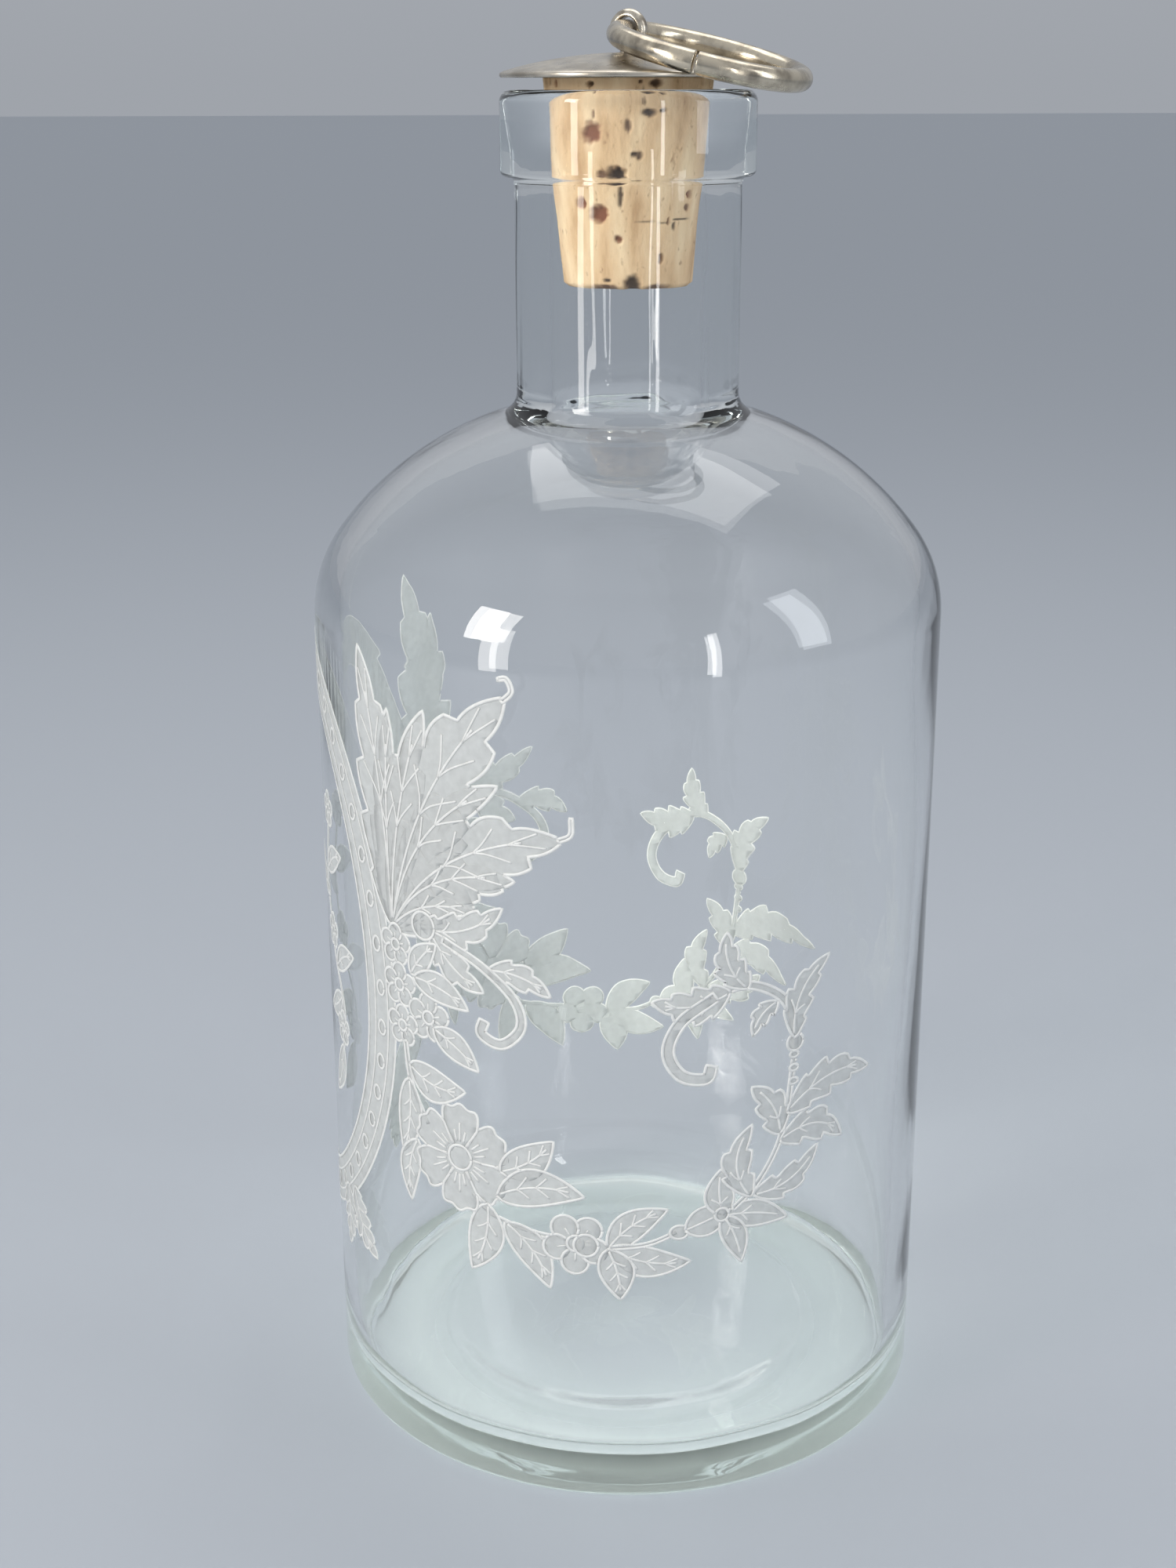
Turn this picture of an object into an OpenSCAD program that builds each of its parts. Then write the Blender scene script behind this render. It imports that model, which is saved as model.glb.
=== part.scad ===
// Glass bitters bottle with a tapered cork stopper, a domed metal cap and a pull ring.
// Millimetres. The origin is the centre of the foot, +Z is up and the ring lies towards +X.
// The pull ring is drawn where it rests on the cap.

/* [Glass body] */
// Outside diameter of the straight side
body_d = 90; // [72:0.5:120]
// Height of the glass, from the foot to the top of the lip
glass_h = 190.8; // [172:0.2:240]
// Height at which the straight side ends and the shoulder begins
shoulder_z = 120; // [70:0.5:135]
// Radius of the tight curve of the shoulder
shoulder_r = 18.8; // [12:0.2:30]
// Angle through which the tight curve turns before it meets the dome
shoulder_turn = 37.7; // [25:0.1:50]
// Radius of the dome between the shoulder and the neck
dome_r = 47.6; // [36:0.2:60]
// Thickness of the side, the shoulder and the dome
wall = 3; // [1.5:0.1:4.5]

/* [Foot] */
// Radius of the outside edge at the foot
heel_r = 1.4; // [0.5:0.1:3]
// Width of the flat ring that the bottle stands on
foot_w = 7; // [3:0.5:12]
// Rise of the hollow under the bottle
kick_h = 1.6; // [0.5:0.1:3]
// Thickness of the glass under the lowest part of the inside floor
floor_t = 4.4; // [3.5:0.1:9]
// Radius of the inside corner between the floor and the side
floor_corner_r = 5; // [2:0.1:8]
// Radius of the raised disc on the inside floor
disc_r = 28; // [15:0.5:30]
// Step up from the floor to the raised disc
disc_step = 1; // [0.3:0.1:2]
// Extra rise of the disc at its centre
disc_rise = 0.7; // [0.2:0.1:2]

/* [Neck and lip] */
// Thickness of the glass round the neck bore
neck_wall = 5; // [2:0.1:7]
// Radius of the fillet where the neck meets the dome
neck_fillet_r = 3; // [1:0.1:5]
// Radius of the inside edge where the neck bore opens into the bottle
throat_r = 5; // [2:0.1:8]
// How far the lip stands out from the neck
lip_out = 1.85; // [1:0.05:4]
// Height of the lip
lip_h = 11.2; // [6:0.1:18]
// Radius of the upper outside edge of the lip
lip_top_r = 1.6; // [0.5:0.1:2]
// Radius of the lower outside edge of the lip
lip_low_r = 0.8; // [0.3:0.1:1]
// Radius of the inside edge of the mouth
mouth_edge_r = 0.9; // [0.3:0.1:2]

/* [Cork] */
// Diameter of the cork where it leaves the mouth
cork_mouth_d = 22.7; // [16:0.1:30]
// Diameter of the cork at its lower end
cork_low_d = 17.6; // [12:0.1:22]
// Depth of the cork below the top of the lip
cork_depth = 25.4; // [18:0.2:32]
// Height of the cork that shows between the lip and the cap
cork_show = 1.5; // [1:0.1:6]
// Depth of the tapered seat that the cork sits in
seat_depth = 8.4; // [4:0.2:12]
// Chamfer on the lower edge of the cork
cork_chamfer = 0.5; // [0.2:0.1:1]

/* [Cap] */
// Diameter of the cap
cap_d = 34.6; // [30:0.2:50]
// Thickness of the rim of the cap
cap_rim_t = 0.7; // [0.4:0.1:1.5]
// Height of the cap's dome above its rim
cap_dome_h = 2.5; // [1.5:0.1:5]

/* [Split pin] */
// Diameter of the shank, which is two half-round legs side by side
pin_d = 2; // [1.4:0.1:2.6]
// Diameter of the hole in the eye
eye_hole_d = 3.5; // [3.2:0.1:5]
// Length of the shank below the cap
pin_len = 15; // [8:0.5:16]
// Slit between the two legs
pin_slit = 0.3; // [0.1:0.05:0.4]

/* [Pull ring] */
// Outside diameter of the ring
ring_d = 27.8; // [22:0.2:40]
// Diameter of the ring's wire
ring_wire_d = 3; // [2:0.1:3.1]
// Direction in which the ring lies, turned from +X towards the viewer's side, -Y
ring_turn = 27; // [0:1:45]
// Gap between the cut ends of the ring
ring_cut = 0.4; // [0.2:0.05:1]
// Place of the cut along the ring, counted from the eye on the viewer's side
ring_cut_at = 107; // [60:1:150]

/* [Fits] */
// Clearance between the cork and the glass
cork_gap = 0.1; // [0.05:0.01:0.3]
// Clearance round the split pin in the cap and the cork
pin_gap = 0.03; // [0.01:0.01:0.1]
// Clearance under the ring's wire in the eye
eye_gap = 0.1; // [0.05:0.01:0.2]
// Clearance between the resting ring and the cap
ring_gap = 0.3; // [0.2:0.05:0.6]

/* [Hidden] */
$fn = 96;
eps = 0.01;
// Segments in an arc of the glass profile
arc_n = 10;

function arc(c, r, a0, a1, n = arc_n) =
    [for (i = [0:n]) let (a = a0 + (a1 - a0) * i / n) [c.x + r * cos(a), c.y + r * sin(a)]];

// Heights of the stopper
cork_low_z = glass_h - cork_depth;
cork_top_z = glass_h + cork_show;
cap_top_z = cork_top_z + cap_rim_t + cap_dome_h;

// Taper of the cork: change of radius for each millimetre of height
cork_taper = (cork_mouth_d - cork_low_d) / 2 / cork_depth;
function cork_r(z) = cork_mouth_d / 2 + (z - glass_h) * cork_taper;

// Radii of the glass, from the cork outwards
body_r = body_d / 2;
mouth_r = cork_r(glass_h) + cork_gap;
bore_r = cork_r(glass_h - seat_depth) + cork_gap;
neck_r = bore_r + neck_wall;
lip_r = neck_r + lip_out;
lip_z = glass_h - lip_h;

// The shoulder arc is tangent to the side, and the dome arc to the shoulder arc
shoulder_c = [body_r - shoulder_r, shoulder_z];
dome_c = shoulder_c + (shoulder_r - dome_r) * [cos(shoulder_turn), sin(shoulder_turn)];

// Centre of a circle of radius r that touches a dome arc of radius d from outside and the line x = x0
function touch_c(d, r, x0) = [x0 + r, dome_c.y + sqrt(pow(d + r, 2) - pow(x0 + r - dome_c.x, 2))];
function angle_to(c) = atan2(c.y - dome_c.y, c.x - dome_c.x);
neck_fillet_c = touch_c(dome_r, neck_fillet_r, neck_r);
throat_c = touch_c(dome_r - wall, throat_r, bore_r);
lip_fillet_r = min(lip_low_r, lip_out - lip_low_r - eps);

// Hollow under the foot: a shallow spherical cap inside the standing ring
foot_in_r = body_r - heel_r - foot_w;
hollow_r = (pow(foot_in_r, 2) + pow(kick_h, 2)) / (2 * kick_h);
function foot_hollow() =
    arc([0, kick_h - hollow_r], hollow_r, 90, acos(foot_in_r / hollow_r));

// Raised disc on the inside floor: an S-shaped step, then a shallow dome
disc_step_w = 3;
disc_top_r = disc_r - disc_step_w / 2;
disc_dome_r = (pow(disc_top_r, 2) + pow(disc_rise, 2)) / (2 * disc_rise);
function floor_disc() = concat(
    [for (i = [0:arc_n]) [
        disc_r + disc_step_w * (0.5 - i / arc_n),
        floor_t + disc_step * (1 - cos(180 * i / arc_n)) / 2
    ]],
    [for (p = arc([0, floor_t + disc_step + disc_rise - disc_dome_r], disc_dome_r,
                  acos(disc_top_r / disc_dome_r), 90)) if (p.x < disc_top_r - eps) [max(p.x, 0), p.y]]
);

outside = concat(
    foot_hollow(),
    arc([body_r - heel_r, heel_r], heel_r, -90, 0),
    arc(shoulder_c, shoulder_r, 0, shoulder_turn),
    arc(dome_c, dome_r, shoulder_turn, angle_to(neck_fillet_c), 2 * arc_n),
    arc(neck_fillet_c, neck_fillet_r, 180 + angle_to(neck_fillet_c), 180),
    arc([neck_r + lip_fillet_r, lip_z - lip_fillet_r], lip_fillet_r, 180, 90, 6),
    arc([lip_r - lip_low_r, lip_z + lip_low_r], lip_low_r, -90, 0, 6),
    arc([lip_r - lip_top_r, glass_h - lip_top_r], lip_top_r, 0, 90)
);

inside = concat(
    arc([mouth_r + mouth_edge_r, glass_h - mouth_edge_r], mouth_edge_r, 90, 180, 6),
    [[bore_r, glass_h - seat_depth]],
    arc(throat_c, throat_r, 180, 180 + angle_to(throat_c)),
    arc(dome_c, dome_r - wall, angle_to(throat_c), shoulder_turn, 2 * arc_n),
    arc(shoulder_c, shoulder_r - wall, shoulder_turn, 0),
    arc([body_r - wall - floor_corner_r, floor_t + floor_corner_r], floor_corner_r, 0, -90),
    floor_disc()
);

module glass_bottle() {
    color([0.82, 0.9, 0.88, 0.4])
        rotate_extrude()
            polygon(concat(outside, inside));
}

module cork() {
    color([0.82, 0.66, 0.47])
        difference() {
            rotate_extrude()
                polygon([
                    [0, cork_low_z],
                    [cork_r(cork_low_z) - cork_chamfer, cork_low_z],
                    [cork_r(cork_low_z + cork_chamfer), cork_low_z + cork_chamfer],
                    [cork_r(cork_top_z), cork_top_z],
                    [0, cork_top_z]
                ]);
            pin_hole();
        }
}

// Cap: a low spherical dome on a thin rim, with a flat underside on the cork
cap_r = cap_d / 2;
cap_dome_r = (pow(cap_r, 2) + pow(cap_dome_h, 2)) / (2 * cap_dome_h);
cap_dome_c = [0, cap_top_z - cap_dome_r];
cap_edge = concat(
    [[cap_r, cork_top_z], [cap_r, cork_top_z + cap_rim_t]],
    arc(cap_dome_c, cap_dome_r, asin(1 - cap_dome_h / cap_dome_r), 90)
);

module cap_disc() {
    color([0.72, 0.66, 0.55])
        difference() {
            rotate_extrude()
                polygon(concat([[0, cork_top_z]], cap_edge));
            pin_hole();
        }
}

// The split pin is half-round wire, folded into an eye with its two legs side by side
pin_r = pin_d / 2;
eye_hole_r = eye_hole_d / 2;
eye_z = cap_top_z + eye_hole_r + pin_r;
pin_low_z = cork_top_z - pin_len;

module pin_hole() {
    translate([0, 0, pin_low_z - pin_gap])
        cylinder(r = pin_r + pin_gap, h = cap_top_z - pin_low_z + 1);
}

module split_pin() {
    color([0.68, 0.62, 0.5])
        rotate([0, 0, -ring_turn])
            difference() {
                union() {
                    translate([0, 0, eye_z])
                        rotate([90, 0, 0])
                            rotate_extrude()
                                translate([eye_hole_r, 0])
                                    intersection() {
                                        circle(r = pin_r);
                                        translate([0, -pin_r])
                                            square([pin_r, pin_d]);
                                    }
                    translate([0, 0, pin_low_z])
                        cylinder(r = pin_r, h = eye_z - eye_hole_r - pin_r / 2 - pin_low_z);
                }
                translate([-pin_slit / 2, -pin_d, pin_low_z - 1])
                    cube([pin_slit, 2 * pin_d, cap_top_z - pin_low_z + 1]);
                translate([0, pin_d, eye_z])
                    rotate([90, 0, 0])
                        cylinder(r = eye_hole_r, h = 2 * pin_d);
            }
}

// The ring hangs at the bottom of the eye's hole and rests near the rim of the cap.
// Its tilt is the one that leaves ring_gap between its wire and the cap.
wire_r = ring_wire_d / 2;
ring_r = ring_d / 2 - wire_r;
swing_z = eye_z - (eye_hole_r - wire_r - eye_gap);

function ring_point(t, tilt) = [
    ring_r * (1 - cos(t)) * cos(tilt),
    ring_r * sin(t),
    swing_z - ring_r * (1 - cos(t)) * sin(tilt)
];
function to_segment(p, a, b) =
    let (k = max(0, min(1, (p - a) * (b - a) / ((b - a) * (b - a)))))
    norm(p - a - k * (b - a));
function to_cap(p) =
    let (q = [norm([p.x, p.y]), p.z])
    min([for (i = [0:len(cap_edge) - 2]) to_segment(q, cap_edge[i], cap_edge[i + 1])]);
function clear_of_cap(tilt) =
    min([for (t = [30:3:150]) to_cap(ring_point(t, tilt))]) - wire_r - ring_gap;
function rest_tilt(low, high, tries = 16) =
    let (middle = (low + high) / 2)
    tries == 0 ? low
    : clear_of_cap(middle) > 0 ? rest_tilt(middle, high, tries - 1)
    : rest_tilt(low, middle, tries - 1);
ring_tilt = rest_tilt(0, 35);
echo(ring_tilt = ring_tilt, swing_z = swing_z, swing_travel = 180 + 2 * ring_tilt);
echo(neck_d = 2 * neck_r, bore_d = 2 * bore_r, lip_d = 2 * lip_r, eye_top = eye_z + eye_hole_r + pin_r);

module pull_ring() {
    color([0.7, 0.62, 0.48])
        rotate([0, 0, -ring_turn])
            translate([0, 0, swing_z])
                rotate([0, ring_tilt, 0])
                    translate([ring_r, 0, 0])
                        difference() {
                            rotate_extrude()
                                translate([ring_r, 0])
                                    circle(r = wire_r);
                            rotate([0, 0, 180 + ring_cut_at])
                                translate([ring_r - ring_wire_d, -ring_cut / 2, -ring_wire_d])
                                    cube([2 * ring_wire_d, ring_cut, 2 * ring_wire_d]);
                        }
}

glass_bottle();
cork();
cap_disc();
split_pin();
pull_ring();
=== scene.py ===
import math
import random

import bmesh
import bpy
from mathutils import Matrix, Vector, noise
from mathutils.geometry import tessellate_polygon


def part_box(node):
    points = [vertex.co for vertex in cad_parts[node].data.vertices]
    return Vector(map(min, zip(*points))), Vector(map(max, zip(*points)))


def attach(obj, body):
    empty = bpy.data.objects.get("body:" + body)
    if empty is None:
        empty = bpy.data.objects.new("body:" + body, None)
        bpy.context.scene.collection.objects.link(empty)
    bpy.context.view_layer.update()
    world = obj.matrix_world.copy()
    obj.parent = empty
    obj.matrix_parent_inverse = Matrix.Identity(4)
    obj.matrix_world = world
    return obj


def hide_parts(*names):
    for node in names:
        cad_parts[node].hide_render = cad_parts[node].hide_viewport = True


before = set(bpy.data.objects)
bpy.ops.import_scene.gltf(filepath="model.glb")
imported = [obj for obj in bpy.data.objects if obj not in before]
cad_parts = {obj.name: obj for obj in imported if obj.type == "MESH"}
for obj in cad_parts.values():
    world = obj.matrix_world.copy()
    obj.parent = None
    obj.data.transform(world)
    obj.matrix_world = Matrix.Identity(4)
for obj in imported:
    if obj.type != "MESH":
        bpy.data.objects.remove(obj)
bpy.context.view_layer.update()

MM = 0.001


def box_mm(node):
    return [[v / MM for v in corner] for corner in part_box(node)]


# Sizes in millimetres and angles in degrees, the same as the construction's own
BODY_R, _, GLASS_H = box_mm("glass_bottle")[1]
(_, _, CORK_LOW_Z), (_, _, CORK_HIGH_Z) = box_mm("cork")
(_, _, CAP_LOW_Z), (CAP_R, _, CAP_HIGH_Z) = box_mm("cap_disc")
# Room left for the print between the glass and its box
SKIN = 0.07
# Side and shoulder, the small round first and then the wide dome
WALL = 3
SHOULDER_Z, SHOULDER_R, SHOULDER_TURN, DOME_R = 120, 18.8, 37.7, 47.6
# Foot with its hollow, and the floor with the raised disc on it
HEEL_R, FOOT_W, KICK_H, FLOOR_T, FLOOR_CORNER_R = 1.4, 7, 1.6, 4.4, 5
DISC_R, DISC_STEP, DISC_RISE, DISC_STEP_W = 28, 1, 0.7, 3
# Neck and lip, inside and outside
MOUTH_R, BORE_R, SEAT_DEPTH, MOUTH_EDGE_R, THROAT_R = 11.45, 10.607, 8.4, 0.9, 5
NECK_R, NECK_FILLET_R, LIP_R, LIP_H, LIP_TOP_R, LIP_LOW_R = 15.607, 3, 17.457, 11.2, 1.6, 0.8
# Stopper: cork, cap and the pin with its eye
CORK_MOUTH_R, CORK_LOW_R = 11.35, 8.8
CAP_RIM = 0.7
PIN_R, EYE_HOLE_R, EYE_Z, PIN_LOW_Z = 1.0, 1.75, 198.25, 177.3
# Pull ring, with the place and width of its cut
RING_R, WIRE_R, RING_TURN, RING_TILT, SWING_Z = 12.4, 1.5, 27, 14.75, 198.1
CUT_AT, CUT_GAP = 107, 0.4


def make_camera():
    """The camera at the photograph's own place and angle, in metres and degrees."""
    place = Vector((0, -0.2991, 0.1922))
    down, turn, roll = math.radians(18.44), math.radians(-1.10), math.radians(0.2)
    ahead = Vector((math.sin(turn) * math.cos(down), math.cos(turn) * math.cos(down), -math.sin(down)))
    right = Vector((math.cos(turn), -math.sin(turn), 0))
    up = right.cross(ahead)
    right, up = right * math.cos(roll) - up * math.sin(roll), up * math.cos(roll) + right * math.sin(roll)
    data = bpy.data.cameras.new("camera")
    data.sensor_fit = "VERTICAL"
    # A tall film frame with a standard lens, both in millimetres
    data.sensor_height = 36
    data.lens = 48.6
    data.clip_start = 0.01
    camera = bpy.data.objects.new("camera", data)
    bpy.context.collection.objects.link(camera)
    turned = Matrix((right, up, -ahead)).transposed().to_4x4()
    camera.matrix_world = Matrix.Translation(place) @ turned
    bpy.context.scene.camera = camera


class Nodes:
    """A new material with its node tree, and short ways to add and join nodes."""

    def __init__(self, name):
        self.material = bpy.data.materials.new(name)
        self.material.use_nodes = True
        self.tree = self.material.node_tree
        self.shader = self.tree.nodes["Principled BSDF"]
        self.output = self.tree.nodes["Material Output"]

    def add(self, kind, **values):
        """A new node. Each value goes to the input of that name or else to the setting."""
        node = self.tree.nodes.new(kind)
        for key, value in values.items():
            if key in node.inputs:
                node.inputs[key].default_value = value
            else:
                setattr(node, key, value)
        return node

    def join(self, source, target):
        self.tree.links.new(source, target)

    def set(self, **values):
        """Plain values for inputs of the main shader."""
        for key, value in values.items():
            self.shader.inputs[key.replace("_", " ")].default_value = value

    def place(self, scale=(1, 1, 1)):
        mapping = self.add("ShaderNodeMapping")
        mapping.inputs["Scale"].default_value = scale
        self.join(self.add("ShaderNodeTexCoord").outputs["Object"], mapping.inputs["Vector"])
        return mapping.outputs["Vector"]

    def noise(self, scale, detail=4, stretch=(1, 1, 1)):
        """Noise with so many marks to the metre."""
        node = self.add("ShaderNodeTexNoise", Scale=scale, Detail=detail)
        self.join(self.place(stretch), node.inputs["Vector"])
        return node.outputs["Fac"]

    def ramp(self, source, stops):
        """Colours at places from 0 to 1 of the source."""
        node = self.add("ShaderNodeValToRGB")
        ramp = node.color_ramp
        while len(ramp.elements) < len(stops):
            ramp.elements.new(0.5)
        for element, (place, colour) in zip(ramp.elements, stops):
            element.position = place
            element.color = (*colour, 1)
        self.join(source, node.inputs["Fac"])
        return node.outputs["Color"]

    def span(self, source, low, high, new_low, new_high):
        node = self.add("ShaderNodeMapRange")
        limits = {"From Min": low, "From Max": high, "To Min": new_low, "To Max": new_high}
        for name, value in limits.items():
            node.inputs[name].default_value = value
        self.join(source, node.inputs["Value"])
        return node.outputs["Result"]

    def bump(self, source, strength, distance):
        node = self.add("ShaderNodeBump", Strength=strength, Distance=distance)
        self.join(source, node.inputs["Height"])
        self.join(node.outputs["Normal"], self.shader.inputs["Normal"])

    def mix(self, factor, first, colour):
        """From the first source's colour to a plain one."""
        node = self.add("ShaderNodeMix", data_type="RGBA")
        self.join(factor, node.inputs[0])
        self.join(first, node.inputs[6])
        node.inputs[7].default_value = (*colour, 1)
        return node.outputs[2]

    def blend(self, factor, first, second):
        """From one shader to another."""
        node = self.add("ShaderNodeMixShader")
        self.join(factor, node.inputs["Fac"])
        self.join(first, node.inputs[1])
        self.join(second, node.inputs[2])
        return node.outputs["Shader"]


def glass_material():
    n = Nodes("glass_clear")
    n.set(Transmission_Weight=1.0, IOR=1.5, Base_Color=(1, 1, 1, 1))
    n.join(n.span(n.noise(95, 6), 0.5, 0.85, 0.0, 0.07), n.shader.inputs["Roughness"])
    n.bump(n.noise(60, 3, (1, 1, 0.35)), 0.12, 0.0004)
    # Painted light: the standing ring gets a pale matte coat in place of the light that comes through the
    # thick base glass, so it shows pale through the foot
    height = n.add("ShaderNodeSeparateXYZ")
    n.join(n.add("ShaderNodeTexCoord").outputs["Object"], height.inputs["Vector"])
    # Mask of the painted foot light, strongest at the bottom of the standing ring
    pits_and_painted_foot_light = n.span(height.outputs["Z"], 0.0002, 0.0014, 0.34, 0.0)
    dull = n.add("ShaderNodeBsdfDiffuse", Color=(0.86, 0.93, 0.90, 1))
    surface = n.blend(pits_and_painted_foot_light, n.shader.outputs["BSDF"], dull.outputs["BSDF"])
    # Light passes to what stands behind, instead of a black shadow
    shadow = n.add("ShaderNodeLightPath").outputs["Is Shadow Ray"]
    clear = n.add("ShaderNodeBsdfTransparent", Color=(0.965, 0.98, 0.975, 1))
    n.join(n.blend(shadow, surface, clear.outputs["BSDF"]), n.output.inputs["Surface"])
    tint = n.add("ShaderNodeVolumeAbsorption", Color=(0.45, 0.86, 0.78, 1), Density=3.2)
    n.join(tint.outputs["Volume"], n.output.inputs["Volume"])
    return n.material


def enamel_material(name, colour, alpha):
    """Fired enamel, see-through by its alpha."""
    n = Nodes(name)
    shade = n.ramp(n.noise(900, 5), [(0.25, [c * 0.86 for c in colour]), (0.7, colour)])
    n.join(shade, n.shader.inputs["Base Color"])
    n.set(Roughness=0.42, Alpha=alpha)
    n.bump(n.noise(2600, 3), 0.25, 0.00003)
    return n.material


def cork_material():
    """Cork. The pits' darkness and redness come with the mesh."""
    n = Nodes("cork_bark")
    browns = [(0.25, (0.42, 0.25, 0.12)), (0.45, (0.66, 0.46, 0.27)), (0.75, (0.82, 0.65, 0.43))]
    warm = n.ramp(n.noise(420, 8, (1, 1, 0.22)), browns)
    fleck = n.span(n.noise(1500, 6, (1, 1, 0.5)), 0.62, 0.75, 0.0, 0.7)
    flecked = n.mix(fleck, warm, (0.26, 0.13, 0.06))
    pit = n.add("ShaderNodeAttribute", attribute_name="pit")
    red = n.add("ShaderNodeAttribute", attribute_name="red")
    reddish = n.mix(red.outputs["Fac"], flecked, (0.34, 0.12, 0.055))
    shade = n.mix(pit.outputs["Fac"], reddish, (0.045, 0.025, 0.015))
    n.join(shade, n.shader.inputs["Base Color"])
    n.set(Roughness=0.88)
    n.bump(n.noise(1800, 8, (1, 1, 0.45)), 0.7, 0.0002)
    return n.material


def metal_material(name, bright, dull, roughness, spread, mark_scale):
    """Aged metal with dull marks, rougher by up to the spread."""
    n = Nodes(name)
    tarnish = n.noise(mark_scale, 8)
    n.join(n.ramp(tarnish, [(0.35, dull), (0.55, bright)]), n.shader.inputs["Base Color"])
    n.join(n.span(n.noise(mark_scale * 1.7, 6), 0.3, 0.75, roughness, roughness + spread),
           n.shader.inputs["Roughness"])
    n.set(Metallic=1.0)
    n.bump(n.noise(mark_scale * 6, 4), 0.18, 0.00004)
    return n.material


def make_object(name, mesh, material, body):
    """A smooth piece that rides on a body."""
    for polygon in mesh.polygons:
        polygon.use_smooth = True
    mesh.materials.append(material)
    piece = bpy.data.objects.new(name, mesh)
    bpy.context.collection.objects.link(piece)
    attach(piece, body)
    return piece


def mesh_from(name, points, faces):
    """A mesh from points in millimetres, its faces turned outwards."""
    mesh = bpy.data.meshes.new(name)
    mesh.from_pydata([tuple(v * MM for v in p) for p in points], [], faces)
    mesh.validate()
    tool = bmesh.new()
    tool.from_mesh(mesh)
    bmesh.ops.recalc_face_normals(tool, faces=tool.faces)
    tool.to_mesh(mesh)
    tool.free()
    return mesh


def arc(cx, cz, r, a0, a1, n):
    """Points of an arc of radius r round (cx, cz), from angle a0 to a1 in n steps."""
    angles = [math.radians(a0 + (a1 - a0) * i / n) for i in range(n + 1)]
    return [(cx + r * math.cos(a), cz + r * math.sin(a)) for a in angles]


def refine(points, step):
    """The same outline with points added until no stretch is longer than step."""
    result = [points[0]]
    for (x0, z0), (x1, z1) in zip(points, points[1:]):
        count = max(1, math.ceil(math.hypot(x1 - x0, z1 - z0) / step))
        result += [(x0 + (x1 - x0) * i / count, z0 + (z1 - z0) * i / count) for i in range(1, count + 1)]
    return result


def lathe(name, outline, segments, move):
    """A turned solid. The outline runs from the axis to the axis, and move shifts each point."""
    points, rings = [], []
    for x, z in outline:
        if x < 0.001:
            rings.append([len(points)])
            points.append((0, 0, z))
            continue
        rings.append(list(range(len(points), len(points) + segments)))
        for i in range(segments):
            a = 2 * math.pi * i / segments
            r, h = move(x, z, a)
            points.append((r * math.sin(a), -r * math.cos(a), h))
    faces = []
    for low, high in zip(rings, rings[1:]):
        for i in range(segments):
            j = (i + 1) % segments
            corners = [low[i % len(low)], low[j % len(low)], high[j % len(high)], high[i % len(high)]]
            faces.append(list(dict.fromkeys(corners)))
    return mesh_from(name, points, faces)


def sweep(name, frames, section):
    """A wire: each frame is (centre, first direction, second direction), section is a list of (u, v)."""
    points = []
    for centre, first, second in frames:
        points += [centre + first * u + second * v for u, v in section]
    n, rows = len(section), len(frames)
    faces = []
    for row in range(rows - 1):
        a, b = row * n, (row + 1) * n
        faces += [(a + i, a + (i + 1) % n, b + (i + 1) % n, b + i) for i in range(n)]
    faces += [tuple(range(n)), tuple(range((rows - 1) * n, rows * n))]
    return mesh_from(name, points, faces)


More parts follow.
